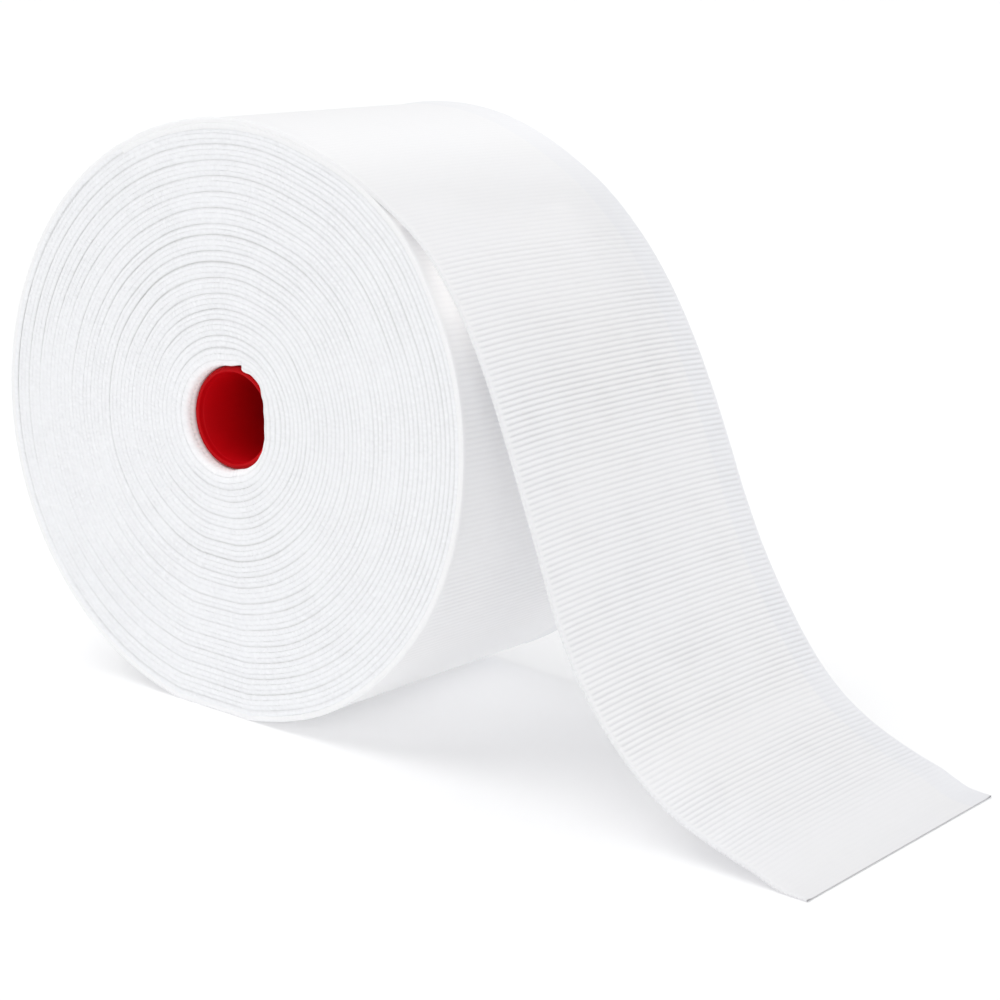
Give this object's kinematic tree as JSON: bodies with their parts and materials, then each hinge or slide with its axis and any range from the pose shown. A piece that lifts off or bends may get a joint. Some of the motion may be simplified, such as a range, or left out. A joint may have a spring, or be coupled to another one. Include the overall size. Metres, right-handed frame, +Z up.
{
  "type": "roll of curtain heading tape",
  "caption": "Roll of stiff white cross-ribbed curtain heading tape wound on a red plastic tube, with its loose end running down to the surface beside it.",
  "frame": {"origin": "on the surface, in the middle of the flat spot on which the roll stands, straight under the roll's axis", "axes": "+X the way the loose end runs, +Y along the roll's axis away from the near end face, +Z up from the surface"},
  "size_m": [0.2832, 0.1, 0.17],
  "materials": {
    "core_plastic": "moulded, satin gloss",
    "tape": "matte stiff weave with fine ribs across it"
  },
  "bodies": {
    "root": {"core": "core_plastic", "tape_roll": "tape", "tape_loose_end": "tape"}
  },
  "joints": []
}
